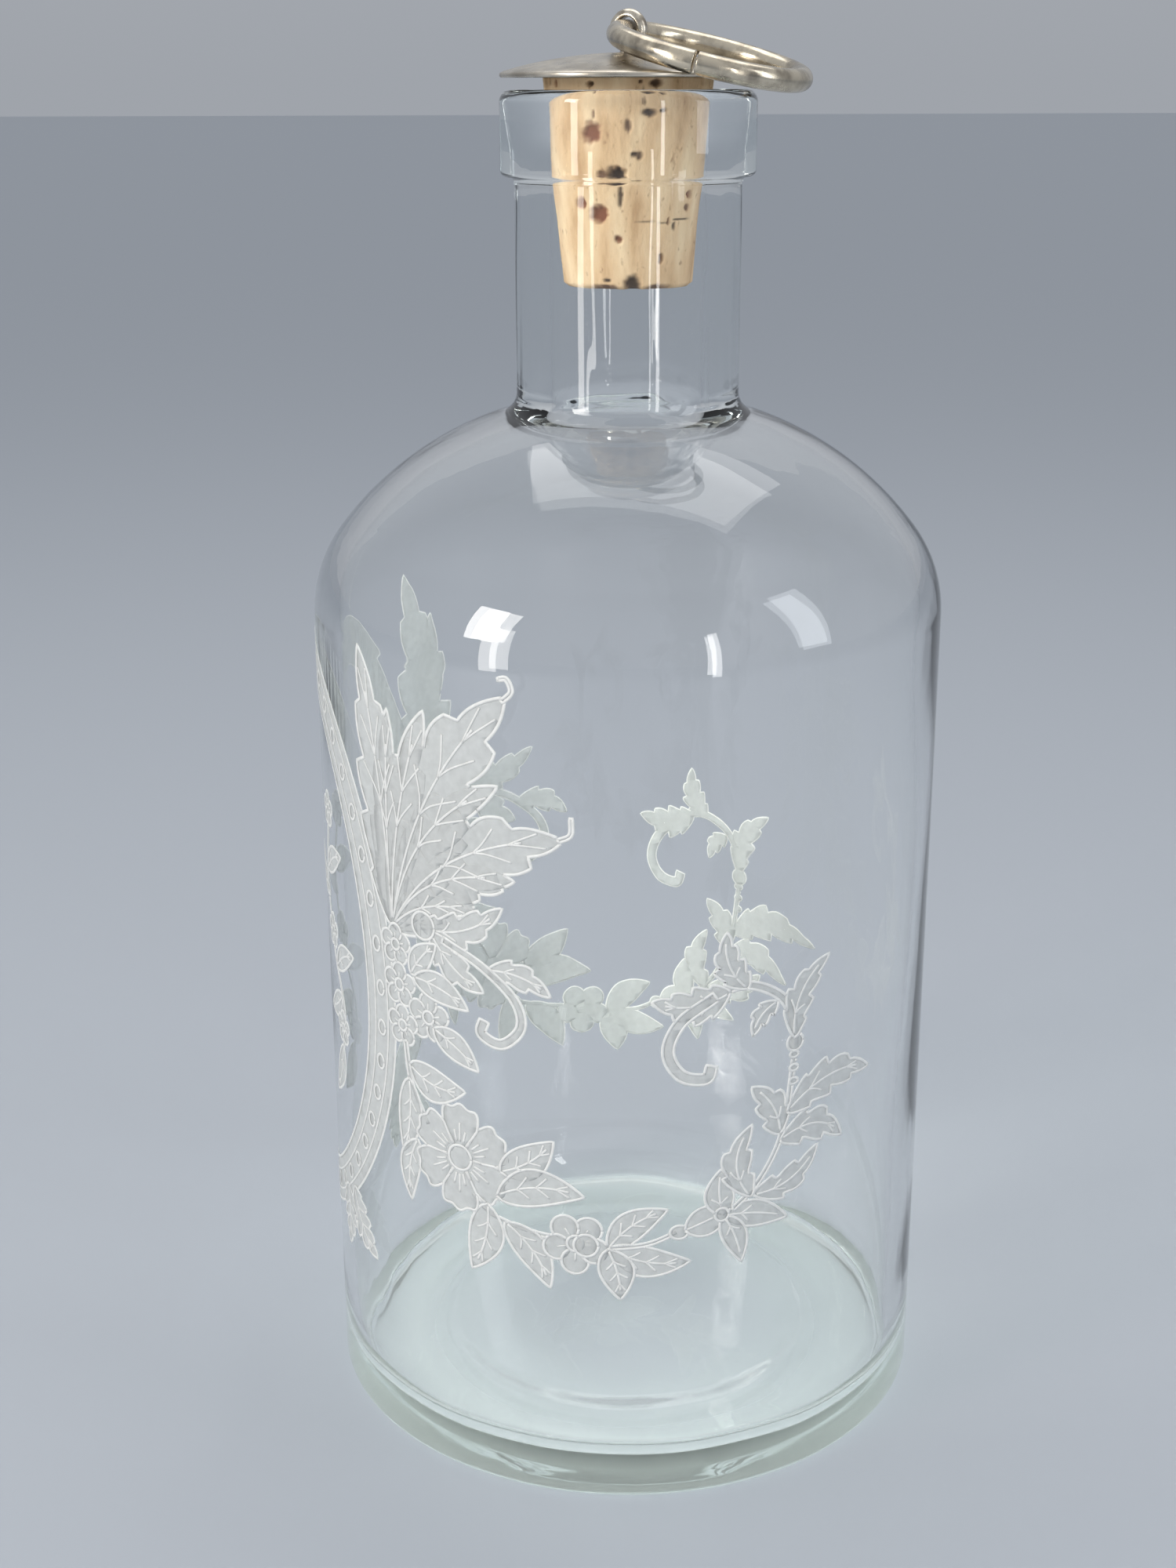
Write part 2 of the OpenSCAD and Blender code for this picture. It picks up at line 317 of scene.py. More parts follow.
def glass_outline():
    """Half the section of the bottle: the outside from the hollow up, then the inside down."""
    turn = math.radians(SHOULDER_TURN)
    shoulder_x = BODY_R - SHOULDER_R
    dome_x = shoulder_x + (SHOULDER_R - DOME_R) * math.cos(turn)
    dome_z = SHOULDER_Z + (SHOULDER_R - DOME_R) * math.sin(turn)

    def touch(dome, r, x):
        """The centre of a fillet that touches the dome and the upright line at x."""
        return x + r, dome_z + math.sqrt((dome + r) ** 2 - (x + r - dome_x) ** 2)

    def angle_to(centre):
        return math.degrees(math.atan2(centre[1] - dome_z, centre[0] - dome_x))

    neck = touch(DOME_R, NECK_FILLET_R, NECK_R)
    throat = touch(DOME_R - WALL, THROAT_R, BORE_R)
    foot_in = BODY_R - HEEL_R - FOOT_W
    hollow = (foot_in ** 2 + KICK_H ** 2) / (2 * KICK_H)
    disc_top = DISC_R - DISC_STEP_W / 2
    disc_dome = (disc_top ** 2 + DISC_RISE ** 2) / (2 * DISC_RISE)
    fillet = min(LIP_LOW_R, LIP_R - NECK_R - LIP_LOW_R - 0.01)
    low_lip = GLASS_H - LIP_H
    rises = [i / 14 for i in range(15)]
    step = [(DISC_R + DISC_STEP_W * (0.5 - k), FLOOR_T + DISC_STEP * (1 - math.cos(math.pi * k)) / 2)
            for k in rises]
    outside = (
        arc(0, KICK_H - hollow, hollow, 90, math.degrees(math.acos(foot_in / hollow)), 20)
        + arc(BODY_R - HEEL_R, HEEL_R, HEEL_R, -90, 0, 10)
        + arc(shoulder_x, SHOULDER_Z, SHOULDER_R, 0, SHOULDER_TURN, 20)
        + arc(dome_x, dome_z, DOME_R, SHOULDER_TURN, angle_to(neck), 30)[1:]
        + arc(*neck, NECK_FILLET_R, 180 + angle_to(neck), 180, 14)[1:]
        + arc(NECK_R + fillet, low_lip - fillet, fillet, 180, 90, 8)
        + arc(LIP_R - LIP_LOW_R, low_lip + LIP_LOW_R, LIP_LOW_R, -90, 0, 8)
        + arc(LIP_R - LIP_TOP_R, GLASS_H - LIP_TOP_R, LIP_TOP_R, 0, 90, 12)
    )
    inside = (
        arc(MOUTH_R + MOUTH_EDGE_R, GLASS_H - MOUTH_EDGE_R, MOUTH_EDGE_R, 90, 180, 8)
        + [(BORE_R, GLASS_H - SEAT_DEPTH)]
        + arc(*throat, THROAT_R, 180, 180 + angle_to(throat), 14)
        + arc(dome_x, dome_z, DOME_R - WALL, angle_to(throat), SHOULDER_TURN, 30)[1:]
        + arc(shoulder_x, SHOULDER_Z, SHOULDER_R - WALL, SHOULDER_TURN, 0, 20)[1:]
        + arc(BODY_R - WALL - FLOOR_CORNER_R, FLOOR_T + FLOOR_CORNER_R, FLOOR_CORNER_R, 0, -90, 14)
        + step
        + arc(0, FLOOR_T + DISC_STEP + DISC_RISE - disc_dome, disc_dome,
              math.degrees(math.acos(disc_top / disc_dome)), 90, 14)[1:]
    )
    longest = 3
    return refine(outside, longest), refine(inside, longest)


def make_glass(material):
    outside, inside = glass_outline()
    segments = 224
    neck_from, seat_from = 140, 181
    neck_swell, side_wave, floor_wave = 0.2, 0.45, 0.35
    hidden = set(inside)

    def uneven(x, z, a):
        """Blown glass: the outside is true, and the inside waves a little."""
        if (x, z) not in hidden:
            return (x - SKIN * min(1, z / 2), z)
        if x < BORE_R + 0.5 and z > neck_from:
            swell = neck_swell * noise.noise(Vector((math.sin(a) * 2.4, math.cos(a) * 2.4, z * 0.05)))
            return (x + abs(swell) if z < seat_from else x, z)
        wave = side_wave * noise.noise(Vector((math.sin(a) * 1.6, math.cos(a) * 1.6, z * 0.028)))
        low = floor_wave * noise.noise(Vector((x * 0.07 * math.sin(a), x * 0.07 * math.cos(a), 3)))
        # The floor's wave gives way to the side's over the first stretch above the floor
        up = min(1, max(0, (z - FLOOR_T - 2) / 12))
        return (x + wave * up, z + low * (1 - up) * min(1, x / 10))

    mesh = lathe("bottle_glass", outside + inside, segments, uneven)
    piece = make_object("bottle_glass", mesh, material, "bottle")
    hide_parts("glass_bottle")


# Printed ornament, drawn flat as (arc length, height) and then wrapped round the body
PRINT_AXIS = -70
# How far out of level the far half is laid
PRINT_SLOPE = 0.06
LINE_W = 0.42
# Depth of the pale fill and of the lines under the body's radius, and their thickness
FILL_DEPTH, FILL_THICK = 0.062, 0.006
LINE_DEPTH, LINE_THICK = 0.003, 0.015
# Each fill stands this much out of the one before it
FILL_STEP = 0.0002
# On the far half only the leaf's first lobes show in the photograph
ALL_LOBES, FAR_LOBES = 8, 2


def within(point, polygon):
    """True if the point lies inside the polygon."""
    x, y = point
    inside = False
    for (x0, y0), (x1, y1) in zip(polygon, polygon[1:] + polygon[:1]):
        if (y0 > y) != (y1 > y) and x < x0 + (x1 - x0) * (y - y0) / (y1 - y0):
            inside = not inside
    return inside


def box_of(points):
    """The left, right, bottom and top of some points."""
    return (min(p[0] for p in points), max(p[0] for p in points),
            min(p[1] for p in points), max(p[1] for p in points))


def outside_of(path, polygon):
    """The stretches of a path that a polygon leaves uncovered."""
    low_x, high_x, low_y, high_y = box_of(polygon)
    left, right, bottom, top = box_of(path)
    if right < low_x or left > high_x or top < low_y or bottom > high_y:
        return [path]
    runs = [[]]
    for p in path:
        if within(p, polygon):
            runs.append([])
        else:
            runs[-1].append(p)
    return [run for run in runs if len(run) > 1]


def dense(path, step=0.5):
    """The same path with points no further apart than step."""
    result = [path[0]]
    for a, b in zip(path, path[1:]):
        count = max(1, math.ceil((b - a).length / step))
        result += [a.lerp(b, i / count) for i in range(1, count + 1)]
    return result


def polar(centre, distance, a):
    return (centre[0] + distance * math.cos(a), centre[1] + distance * math.sin(a))


class Print:
    """Filled shapes and lines. A shape covers the lines of those drawn before it."""

    def __init__(self):
        self.fills = []
        self.lines = []

    def cover(self, shape):
        self.lines = [(run, width) for path, width in self.lines for run in outside_of(path, shape)]
        self.fills.append(shape)

    def fill(self, points):
        """A filled shape with an outline."""
        self.cover([tuple(p) for p in points])
        self.line(list(points) + [points[0]])

    def line(self, points, width=LINE_W):
        self.lines.append((dense([Vector(p) for p in points]), width))

    def leaf_shape(self, base, tip, width, bend, lobes):
        """The outline of a leaf, its spine and its half width. Lobes give an acanthus's toothed edge."""
        base, axis = Vector(base), Vector(tip) - Vector(base)
        length = axis.length
        side = Vector((-axis.y, axis.x)) / length

        def spine(k):
            return base + axis * k + side * (bend * length * 4 * k * (1 - k))

        def half(k):
            full = width / 2 * math.sin(math.pi * k ** 0.8) ** 0.85
            tooth = 0.42 * min(1, 2.5 * k)
            return full * (1 - tooth + tooth * math.sin(math.pi / 2 * ((k * lobes) % 1))) if lobes else full

        count = 18 + 9 * lobes
        steps = [i / count for i in range(count + 1)]
        left = [spine(k) + side * half(k) for k in steps]
        right = [spine(k) - side * half(k) for k in reversed(steps[:-1])]
        return left + right[:-1], spine, half, side

    def veins(self, spine, half, side, first, last, count):
        """The midrib, and pairs of side veins from first to last along it."""
        self.line([spine(0.04 + 0.05 * i) for i in range(17)], LINE_W * 0.85)
        for i in range(count):
            k = first + (last - first) * i / max(1, count - 1)
            for way in (1, -1):
                end = spine(k + 0.14) + side * way * half(k + 0.12) * 0.6
                self.line(smooth([spine(k), spine(k + 0.06) + side * way * half(k + 0.06) * 0.22, end], 4),
                          LINE_W * 0.7)

    def leaf(self, base, tip, width, bend=0.0, lobes=0, veins=3):
        shape, spine, half, side = self.leaf_shape(base, tip, width, bend, lobes)
        self.fill(shape)
        self.veins(spine, half, side, 0.25, 0.7, veins)

    def fan(self, base, leaves):
        """One big leaf of many lobes: where two lobes overlap, their outlines are left out."""
        lobes = [self.leaf_shape(base, *leaf) for leaf in leaves]
        shapes = [[tuple(p) for p in shape] for shape, *_ in lobes]
        for shape in shapes:
            self.cover(shape)
        for i, shape in enumerate(shapes):
            runs = [dense([Vector(p) for p in shape + shape[:1]])]
            for other in shapes[:i] + shapes[i + 1:]:
                runs = [rest for run in runs for rest in outside_of(run, other)]
            self.lines += [(run, LINE_W * 1.15) for run in runs]
        for _, spine, half, side in lobes:
            self.veins(spine, half, side, 0.45, 0.78, 3)

    def disc(self, centre, r, squash=1.0):
        angles = [2 * math.pi * i / 20 for i in range(20)]
        self.fill([(centre[0] + r * math.cos(a), centre[1] + r * squash * math.sin(a)) for a in angles])

    def posy(self, centre, r, petals=5, turn=0.3):
        """A small flower of round petals about a round heart."""
        for i in range(petals):
            a = turn + 2 * math.pi * i / petals
            self.disc(polar(centre, 0.6 * r, a), 0.42 * r)
            self.line([polar(centre, 0.3 * r, a), polar(centre, 0.6 * r, a)], LINE_W * 0.6)
        self.disc(centre, 0.27 * r)

    def bloom(self, centre, r, petals=6, turn=0.5):
        """A big open flower: broad petals with a wavy rim and short strokes at the heart."""
        def reach(t):
            """How far the rim is out, with t from -1 to 1 across the petal."""
            return r * (0.97 - 0.27 * t ** 4 + 0.035 * math.cos(3 * math.pi * t))

        spread = math.pi / petals
        across = [t / 12 - 1 for t in range(25)]
        for i in range(petals):
            a = turn + 2 * spread * i
            rim = [polar(centre, reach(t), a + spread * 1.02 * t) for t in across]
            start, end = polar(centre, 0.2 * r, a - spread * 0.9), polar(centre, 0.2 * r, a + spread * 0.9)
            self.fill([start] + rim + [end])
        for i in range(petals):
            for shift, end in ((-0.22, 0.52), (0, 0.66), (0.22, 0.52)):
                a = turn + 2 * spread * i + shift
                self.line([polar(centre, 0.3 * r, a), polar(centre, end * r, a)], LINE_W * 0.75)
        self.disc(centre, 0.23 * r)

    def scroll(self, points, wide, narrow):
        """A stem that tapers along a smooth line through points."""
        path = smooth(points, 8)
        left, right = [], []
        for i, p in enumerate(path):
            along = path[min(i + 1, len(path) - 1)] - path[max(i - 1, 0)]
            side = Vector((-along.y, along.x)).normalized()
            half = (wide + (narrow - wide) * i / (len(path) - 1)) / 2
            left.append(p + side * half)
            right.append(p - side * half)
        self.fill(left + right[::-1])


def smooth(points, count):
    """A curve through the points, with count steps between each two."""
    p = [Vector(q) for q in points]
    p = [2 * p[0] - p[1]] + p + [2 * p[-1] - p[-2]]
    path = []
    for a, b, c, d in zip(p, p[1:], p[2:], p[3:]):
        for i in range(count):
            t = i / count
            path.append(0.5 * (2 * b + (c - a) * t + (2 * a - 5 * b + 4 * c - d) * t * t
                               + (3 * b - a - 3 * c + d) * t ** 3))
    return path + [p[-2]]


def draw_frame(art):
    """The oval frame round the empty panel: a band of four lines with a row of beads."""
    half_w, rise, drop, middle = 34.5, 49, 42, 69
    band, bead_at, bead_count = 6.6, 3.2, 44

    def oval(inset, a):
        tall = rise if math.sin(a) > 0 else drop
        return (PRINT_AXIS + (half_w - inset) * math.cos(a), middle + (tall - inset) * math.sin(a))

    angles = [-math.pi / 2 + math.pi * i / 90 for i in range(91)]
    art.fill([oval(0, a) for a in angles] + [oval(band, a) for a in reversed(angles)])
    for inset in (1.7, 4.7):
        art.line([oval(inset, a) for a in angles], LINE_W * 0.8)
    for i in range(bead_count // 2):
        art.disc(oval(bead_at, -math.pi / 2 + math.pi * (i + 0.5) / (bead_count // 2)), 0.8, 1.4)


def draw_big_leaf(art, lobes):
    """An acanthus leaf from the oval's side, with its first lobes or with all of them and their curls."""
    art.fan((-35.5, 82.5), (
        ((-41.5, 121), 11, -0.03, 5), ((-35.2, 113.5), 8, 0.02, 4), ((-28.3, 114.5), 10, 0.05, 4),
        ((-15.8, 118), 17, 0.08, 6), ((-17, 106), 10, 0.12, 4), ((-8.2, 99.5), 15, 0.13, 6),
        ((-14.8, 93.2), 10, 0.15, 4), ((-21, 88), 6, 0.12, 3),
    )[:lobes])
    if lobes == ALL_LOBES:
        art.scroll([(-16.2, 117.4), (-14.9, 118.8), (-15.5, 120.4), (-16.7, 120.3)], 0.5, 0.4)
        art.scroll([(-8.8, 99.4), (-7.2, 100.3), (-7.1, 102.6)], 0.5, 0.4)


def draw_bell(art):
    """Bell flower, its long curling stem and the posies below the big leaf."""
    art.leaf((-30, 84), (-16.6, 89.2), 5.4, -0.12, 4, 2)
    art.leaf((-28, 83.5), (-19.6, 76.6), 5.2, -0.08, 3, 2)
    art.disc((-29.4, 84.2), 2.0)
    art.leaf((-19, 80), (-10, 77.4), 4.2, 0.12, 3, 2)
    stem = [(-26, 83), (-20, 80.5), (-15.2, 76.5), (-14.2, 72.5), (-17, 69.6), (-20, 70.6), (-19.6, 72.6)]
    art.scroll(stem, 1.0, 1.5)
    for centre, r in (((-35, 80), 3.0), ((-34.4, 74.2), 3.2), ((-28.9, 70.8), 3.6), ((-34, 68.2), 3.0)):
        art.posy(centre, r)
    art.leaf((-32, 76.5), (-27.2, 82), 3.6, 0.05, 0, 2)
    art.leaf((-31.5, 76.2), (-22, 73.5), 4.2, 0.08, 0, 2)
    art.leaf((-28, 69.5), (-20.6, 64.8), 4.0, 0.05, 0, 2)


def draw_garland(art):
    """Garland from the oval down to the middle of the front."""
    art.scroll([(-33.5, 66), (-32.5, 60), (-29.5, 54.5)], 0.7, 0.7)
    art.leaf((-32.8, 62.7), (-22.8, 61.2), 5.2, -0.12)
    art.leaf((-33, 60.5), (-34.6, 48.4), 4.6, 0.06)
    art.leaf((-31.6, 51.5), (-33.2, 41.4), 4.0, -0.1)
    art.scroll([(-22, 46), (-19, 43.5), (-13, 42), (-8, 41.5)], 0.6, 0.6)
    art.bloom((-24, 51), 8.2)
    art.leaf((-17.6, 50.4), (-9.8, 56.2), 5.0, -0.08)
    art.leaf((-18.2, 46.6), (-5.6, 48.2), 5.6, 0.12)
    art.leaf((-19.6, 45), (-22.3, 34.2), 5.4, 0.08)
    art.leaf((-17, 42.8), (-10.4, 33.6), 4.8, 0.1)
    art.posy((-6.8, 41), 4.6, 5, 0.9)
    art.disc((-5.4, 40.8), 1.7)
    for tip, width, bend in (((5.8, 46.4), 4.4, 0.1), ((9, 38.2), 4.6, -0.08), ((-0.6, 32.6), 4.8, 0.06)):
        art.leaf((-2.4, 40.4), tip, width, bend)


def draw_lily(art):
    """Lily and the leafy stem that rises to the right."""
    art.scroll([(-2, 40.6), (3, 41.2), (7, 42.8)], 0.5, 0.5)
    art.disc((7.4, 42.8), 1.3, 0.8)
    art.leaf((8.2, 43), (15, 45.6), 4.4, 0, 0, 0)
    for tip, width in (((13.2, 51.8), 4.2), ((23.4, 42.4), 4.0), ((16.4, 37), 3.6)):
        art.leaf((13.6, 44.6), tip, width, 0.06, 0, 1)
    art.disc((13.4, 44.8), 1.0)
    art.scroll([(15, 45.4), (18.5, 48.6), (21.5, 53.5), (22.9, 58.5), (23.6, 64), (24, 67.5)], 0.6, 0.7)
    art.leaf((17.6, 46.8), (17.6, 57.8), 5.0, 0.2, 3, 1)
    art.leaf((18, 47), (28.4, 52.2), 4.6, -0.14, 3, 1)
    art.leaf((22, 55.5), (17.4, 63.4), 5.2, -0.12, 3, 1)
    art.leaf((22, 54.5), (33, 52.2), 5.6, 0.2, 3, 2)
    art.leaf((23, 58.5), (38.4, 61), 6.0, 0.16, 4, 2)
    for z in (63, 65, 67):
        art.disc((23.9, z), 0.7, 0.7)


def draw_branches(art):
    """Arching branches over the stem, and the end curl."""
    art.scroll([(24, 67.5), (23.6, 72), (21.5, 76), (16.5, 78.5), (11, 77.6)], 1.2, 1.0)
    art.disc((24, 68.8), 1.3)
    art.leaf((23.8, 69.5), (29.4, 80.5), 4.8, 0.16, 4, 1)
    art.leaf((21, 75.4), (17.4, 71), 3.2, -0.14, 3, 0)
    art.leaf((16.5, 78), (13.4, 86.4), 4.6, 0.14, 4, 1)
    art.leaf((14, 77.8), (3.4, 77.2), 5.6, 0.12, 4, 2)
    art.scroll([(12, 77.4), (7.4, 74.2), (5.6, 70), (7.4, 66.4), (10.8, 65.6), (11.6, 67.4)], 1.5, 1.6)


def draw_spray(art):
    """Leaf under the oval and the small spray inside it."""
    art.leaf((-50, 36), (-42.4, 27.6), 6.4, -0.1, 5, 3)
    art.leaf((-53, 35), (-53, 25), 6.0, 0.06, 5, 3)
    art.scroll([(-56, 92), (-58, 82), (-55, 72), (-51, 64), (-53, 55)], 0.6, 0.6)
    for base, tip in (((-57.4, 84), (-50, 88)), ((-57, 80), (-64, 86)), ((-54, 70), (-46.5, 74)),
                      ((-52, 66), (-59, 62)), ((-52.4, 58), (-57, 49))):
        art.leaf(base, tip, 3.6, 0.08, 0, 2)
    for centre in ((-56, 93.5), (-55.6, 75), (-52, 61)):
        art.posy(centre, 2.6)


def draw_half(art, lobes):
    """One half of the ornament, to the right of the oval's axis."""
    draw_frame(art)
    draw_big_leaf(art, lobes)
    draw_bell(art)
    draw_garland(art)
    draw_lily(art)
    draw_branches(art)
    draw_spray(art)


def mirrored(point):
    """The same place in the other half, laid a little out of level, as a transfer is."""
    s, z = point
    return (2 * PRINT_AXIS - s, z - PRINT_SLOPE * (s - PRINT_AXIS))


def wrap(s, z, r):
    """A place in the flat drawing, bent round the body at radius r."""
    a = s / BODY_R
    return (r * math.sin(a), -r * math.cos(a), z)


def faced_out(tool, name):
    """The finished mesh, with each face turned away from the bottle's axis."""
    for face in tool.faces:
        face.normal_update()
        out = Vector((*face.calc_center_median().xy, 0))
        if face.normal.dot(out) < 0:
            face.normal_flip()
    mesh = bpy.data.meshes.new(name)
    tool.to_mesh(mesh)
    tool.free()
    return mesh


def fill_mesh(name, fills, r):
    """Flat shapes cut into narrow upright strips and wrapped on the body."""
    strip = 1.5
    tool = bmesh.new()
    for level, points in enumerate(fills):
        corners = [tool.verts.new((s, z, level * FILL_STEP)) for s, z in points]
        for triangle in tessellate_polygon([[Vector((s, z, 0)) for s, z in points]]):
            tool.faces.new([corners[i] for i in triangle])
    reach = [v.co.x for v in tool.verts]
    for i in range(math.floor(min(reach) / strip), math.ceil(max(reach) / strip) + 1):
        bmesh.ops.bisect_plane(tool, geom=tool.verts[:] + tool.edges[:] + tool.faces[:],
                               plane_co=(i * strip, 0, 0), plane_no=(1, 0, 0), dist=1e-5)
    for v in tool.verts:
        v.co = Vector(wrap(v.co.x, v.co.y, r + v.co.z)) * MM
    return faced_out(tool, name)


def line_mesh(name, lines, r):
    """Ribbons along the lines, wrapped on the body."""
    points, faces = [], []
    for path, width in lines:
        closed = (path[0] - path[-1]).length < 1e-6
        start = len(points)
        for i, p in enumerate(path):
            before = path[i - 1] if i else (path[-2] if closed else path[0])
            after = path[i + 1] if i + 1 < len(path) else (path[1] if closed else path[-1])
            along = after - before
            side = Vector((-along.y, along.x)).normalized() * width / 2
            points.append(wrap(*(p + side), r))
            points.append(wrap(*(p - side), r))
        for i in range(start, len(points) - 2, 2):
            faces.append((i, i + 1, i + 3, i + 2))
    tool = bmesh.new()
    corners = [tool.verts.new(Vector(p) * MM) for p in points]
    for face in faces:
        tool.faces.new([corners[i] for i in face])
    return faced_out(tool, name)


def thicken(piece, depth):
    """Depth added on the side of the bottle's axis."""
    solid = piece.modifiers.new("thickness", "SOLIDIFY")
    solid.thickness = depth * MM
    solid.offset = -1


def make_print(fill_material, line_material):
    """The enamel on the glass, a pale fill and white lines for each half."""
    for half, lobes in (("right", ALL_LOBES), ("left", FAR_LOBES)):
        art = Print()
        draw_half(art, lobes)
        fills = art.fills
        lines = art.lines
        if half == "left":
            fills = [[mirrored(p) for p in points] for points in fills]
            lines = [([Vector(mirrored(p)) for p in path], width) for path, width in lines]
        mesh = fill_mesh("fill", fills, BODY_R - FILL_DEPTH)
        thicken(make_object(f"enamel_fill_{half}", mesh, fill_material, "bottle"), FILL_THICK)
        mesh = line_mesh("lines", lines, BODY_R - LINE_DEPTH)
        thicken(make_object(f"enamel_lines_{half}", mesh, line_material, "bottle"), LINE_THICK)


# The cork's big pits: angle from the front, height, half width, half height, depth and redness
CORK_PITS = [
    (-57, 191.6, 0.4, 0.6, 0.5, 1), (-26, 191.5, 0.6, 0.45, 0.7, 0.2), (18.5, 191.6, 1.0, 0.65, 0.8, 0.3),
    (8, 191.8, 0.3, 0.3, 0.4, 0.3), (-23, 185.5, 1.3, 1.6, 0.5, 1), (10, 190, 0.35, 1.3, 0.4, 0),
    (13, 187.9, 1.0, 0.6, 0.6, 0.1), (0, 186.3, 0.4, 1.0, 0.4, 0.5), (4, 182.8, 0.5, 0.4, 0.4, 0.2),
    (-8, 180.4, 1.35, 1.1, 1.6, 0.1), (-21, 175.2, 1.3, 1.4, 0.8, 1), (-34, 176.6, 0.8, 0.9, 0.5, 1),
    (-5, 177.6, 0.35, 1.8, 0.4, 0.2), (4, 166.0, 1.2, 1.4, 1.4, 0.2), (-20, 165.6, 2.4, 0.5, 0.6, 0.6),
    (26, 165.6, 2.0, 0.5, 0.6, 0.6), (12, 174.3, 1.6, 0.12, 0.3, 0), (28, 174.1, 2.2, 0.1, 0.3, 0),
    (41, 174.4, 1.6, 0.12, 0.3, 0),
]


def make_cork(material):
    """A tapered cork with the big pits and a few dozen small ones."""
    dice = random.Random(11)
    small_pits = 46
    pits = list(CORK_PITS)
    for _ in range(small_pits):
        pits.append((dice.uniform(-180, 180), dice.uniform(166, 192), dice.uniform(0.15, 0.7),
                     dice.uniform(0.15, 0.9), dice.uniform(0.15, 0.7), dice.uniform(0, 1)))
    low, high = CORK_LOW_Z, CORK_HIGH_Z
    taper = (CORK_MOUTH_R - CORK_LOW_R) / (GLASS_H - low)
    chamfer = 0.5
    rows, segments = 130, 288
    axis_mark = (0.0, 0.0)
    marks = []

    def pits_and_painted_foot_light(x, z, a):
        """Pits sink into the side, and their darkness and redness are noted for the material."""
        side = abs(x - (CORK_MOUTH_R + (z - GLASS_H) * taper)) < 0.02
        rough = 0.07 * abs(noise.noise(Vector((x * math.sin(a), -x * math.cos(a), z * 0.4)) * 1.3))
        sunk, dark, red = rough, 0.0, 0.0
        for angle, height, half_w, half_h, depth, hue in pits:
            if abs(z - height) > half_h * 1.5:
                continue
            turned = (math.degrees(a) - angle + 180) % 360 - 180
            across = math.radians(turned) * x
            if abs(across) > half_w * 1.5:
                continue
            ragged = 0.25 * noise.noise(Vector((across * 1.8, z * 1.8, angle)))
            away = math.hypot(across / half_w, (z - height) / half_h) + ragged
            inside = max(0.0, min(1.0, (1 - away) * 2.2))
            sunk = max(sunk, depth * inside)
            dark = max(dark, inside * (1 - 0.55 * hue))
            red = max(red, inside * hue)
        marks.append((dark, red))
        return (x - sunk if side or x > 3 else x, z)

    outline = [(0, low)] + [(r, low) for r in (2, 4, 6, 7.4, CORK_LOW_R - chamfer)]
    for i in range(rows + 1):
        z = low + chamfer + (high - low - chamfer) * i / rows
        outline.append((CORK_MOUTH_R + (z - GLASS_H) * taper, z))
    outline += [(8, high), (4, high), (0, high)]
    mesh = lathe("cork_stopper", outline, segments, pits_and_painted_foot_light)
    piece = make_object("cork_stopper", mesh, material, "stopper")
    values = [axis_mark] + marks + [axis_mark]
    for i, name in enumerate(("pit", "red")):
        layer = mesh.attributes.new(name, "FLOAT", "POINT")
        for datum, value in zip(layer.data, values):
            datum.value = value[i]
    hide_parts("cork")


def make_cap(material):
    """A low dome with a rounded rim, faintly dented."""
    base, top = CAP_LOW_Z, CAP_HIGH_Z
    dome = top - base - CAP_RIM
    dome_r = (CAP_R ** 2 + dome ** 2) / (2 * dome)
    start = math.degrees(math.asin(1 - dome / dome_r))
    lip = 0.3
    rim = (arc(CAP_R - lip, base + lip, lip, -90, 0, 6)
           + arc(CAP_R - lip, base + CAP_RIM - lip, lip, 0, 70, 6))
    dome_points = [p for p in arc(0, top - dome_r, dome_r, start, 90, 60) if p[0] < CAP_R - 0.5]
    outline = [(0, base), (6, base), (12, base)] + rim + dome_points[:-1] + [(0, top)]

    def hammered(x, z, a):
        dent = 0.05 * noise.noise(Vector((x * math.sin(a), -x * math.cos(a), 5)) * 0.16)
        return (x, z - abs(dent) if z > base + CAP_RIM else z)

    mesh = lathe("cap_dome", outline, 192, hammered)
    piece = make_object("cap_dome", mesh, material, "stopper")
    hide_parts("cap_disc")


def ring_axes():
    """The way the resting ring points, the way across it and up."""
    turn = math.radians(-RING_TURN)
    out = Vector((math.cos(turn), math.sin(turn), 0))
    across = Vector((-math.sin(turn), math.cos(turn), 0))
    return out, across, Vector((0, 0, 1))


def make_pin(material):
    """Half-round wire: straight up from the cork, round the eye and down again."""
    out, across, up = ring_axes()
    half = [(PIN_R * math.cos(a), PIN_R * math.sin(a))
            for a in (math.pi * i / 12 - math.pi / 2 for i in range(13))]
    leg_x = 0.15
    leg_heights = (PIN_LOW_Z, 185, 191, EYE_Z - EYE_HOLE_R - PIN_R * 0.5)
    # The eye's turn stops short of the legs on both sides
    short = 14
    turn_from, turn_to = -90 + short, 270 - short
    frames = [(out * leg_x + up * z, out, across) for z in leg_heights]
    for i in range(61):
        a = math.radians(turn_from + (turn_to - turn_from) * i / 60)
        away = out * math.cos(a) + up * math.sin(a)
        frames.append((up * EYE_Z + away * EYE_HOLE_R, away, across))
    frames += [(-out * leg_x + up * z, -out, across) for z in reversed(leg_heights)]
    mesh = sweep("eye_pin", frames, half)
    piece = make_object("eye_pin", mesh, material, "stopper")
    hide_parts("split_pin")


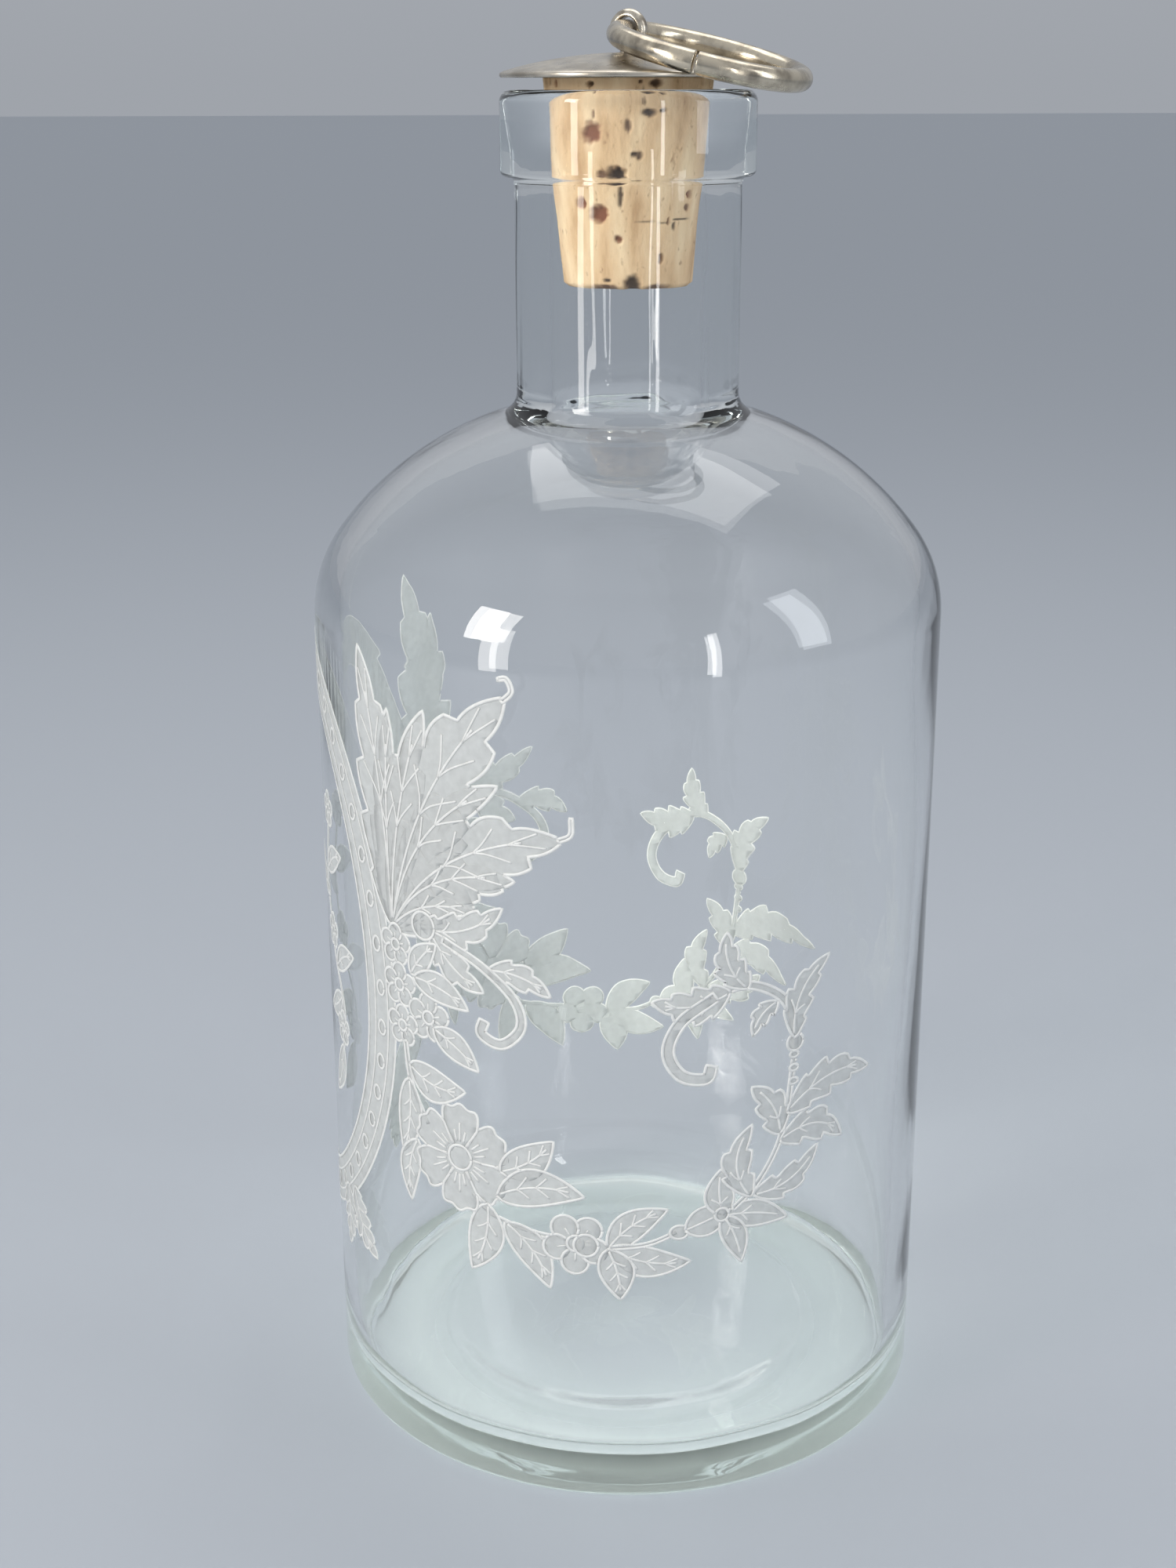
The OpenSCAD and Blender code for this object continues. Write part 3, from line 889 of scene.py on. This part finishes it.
def make_ring(material):
    """Round wire bent to a ring, open at its cut."""
    out, across, up = ring_axes()
    tilt = math.radians(RING_TILT)
    away = out * math.cos(tilt) - up * math.sin(tilt)
    square = out * math.sin(tilt) + up * math.cos(tilt)
    centre = up * SWING_Z + away * RING_R
    gap = math.degrees(CUT_GAP / RING_R) / 2
    steps, sides = 220, 28
    frames = []
    for i in range(steps + 1):
        k = i / steps
        a = math.radians(180 + CUT_AT + gap + (360 - 2 * gap) * k)
        spoke = away * math.cos(a) + across * math.sin(a)
        frames.append((centre + spoke * RING_R, spoke, square))
    section = [(WIRE_R * math.cos(2 * math.pi * i / sides), WIRE_R * math.sin(2 * math.pi * i / sides))
               for i in range(sides)]
    mesh = sweep("finger_ring", frames, section)
    piece = make_object("finger_ring", mesh, material, "ring")
    bevel = piece.modifiers.new("filed_ends", "BEVEL")
    bevel.width = 0.12 * MM
    bevel.segments = 2
    bevel.limit_method = "ANGLE"
    bevel.angle_limit = math.radians(50)
    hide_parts("pull_ring")


def make_floor():
    n = Nodes("floor_matte")
    n.set(Base_Color=(0.47, 0.50, 0.545, 1), Roughness=0.8)
    mesh = bpy.data.meshes.new("floor")
    # Metres each way, and a hair below the foot
    reach, level = 12, -0.0002
    corners = [(x * reach, y * reach, level) for x, y in ((-1, -1), (1, -1), (1, 1), (-1, 1))]
    mesh.from_pydata(corners, [], [(0, 1, 2, 3)])
    mesh.materials.append(n.material)
    floor = bpy.data.objects.new("floor", mesh)
    bpy.context.collection.objects.link(floor)


def make_lamp(name, place, size, energy, colour, target=(0, 0, 0.10)):
    """A soft box, turned from its place to its target. Lengths are in metres, energy in watts."""
    data = bpy.data.lights.new(name, "AREA")
    data.shape = "RECTANGLE"
    data.size, data.size_y = size
    data.energy = energy
    data.color = colour
    lamp = bpy.data.objects.new(name, data)
    lamp.location = place
    lamp.rotation_euler = (Vector(target) - Vector(place)).to_track_quat("-Z", "Y").to_euler()
    bpy.context.collection.objects.link(lamp)


def make_world():
    """A plain sky, paler towards the top."""
    world = bpy.data.worlds.new("studio")
    world.use_nodes = True
    nodes, links = world.node_tree.nodes, world.node_tree.links
    coords = nodes.new("ShaderNodeTexCoord")
    split = nodes.new("ShaderNodeSeparateXYZ")
    ramp = nodes.new("ShaderNodeValToRGB")
    ramp.color_ramp.elements[0].position = 0.0
    ramp.color_ramp.elements[0].color = (0.50, 0.53, 0.58, 1)
    ramp.color_ramp.elements[1].position = 0.9
    ramp.color_ramp.elements[1].color = (0.85, 0.88, 0.92, 1)
    links.new(coords.outputs["Generated"], split.inputs["Vector"])
    links.new(split.outputs["Z"], ramp.inputs["Fac"])
    links.new(ramp.outputs["Color"], nodes["Background"].inputs["Color"])
    nodes["Background"].inputs["Strength"].default_value = 0.7
    bpy.context.scene.world = world


make_camera()
make_glass(glass_material())
make_print(enamel_material("enamel_pale", (0.80, 0.815, 0.80), 0.72),
           enamel_material("enamel_white", (0.97, 0.97, 0.94), 1.0))
make_cork(cork_material())
make_cap(metal_material("cap_satin", (0.66, 0.60, 0.51), (0.46, 0.41, 0.34), 0.24, 0.14, 240))
make_pin(metal_material("pin_wire", (0.66, 0.60, 0.50), (0.36, 0.31, 0.25), 0.18, 0.2, 700))
make_ring(metal_material("ring_wire", (0.68, 0.60, 0.47), (0.38, 0.33, 0.26), 0.14, 0.2, 420))
make_floor()
make_world()
neck = (0, 0, 0.16)
warm, neutral, cool = (1.0, 0.97, 0.92), (1.0, 0.99, 0.97), (0.92, 0.96, 1.0)
make_lamp("window_left", (-0.55, -0.42, 0.42), (0.15, 0.30), 1.9, warm)
make_lamp("soft_right", (0.62, -0.25, 0.38), (0.16, 0.50), 0.8, cool)
make_lamp("strip_left", (-0.46, -0.42, 0.20), (0.07, 0.34), 0.55, warm, neck)
make_lamp("strip_right", (0.30, -0.52, 0.20), (0.035, 0.34), 0.3, neutral, neck)
make_lamp("soft_top", (0.05, 0.25, 0.75), (0.60, 0.40), 1.2, neutral)
bpy.context.scene.view_settings.view_transform = "Standard"
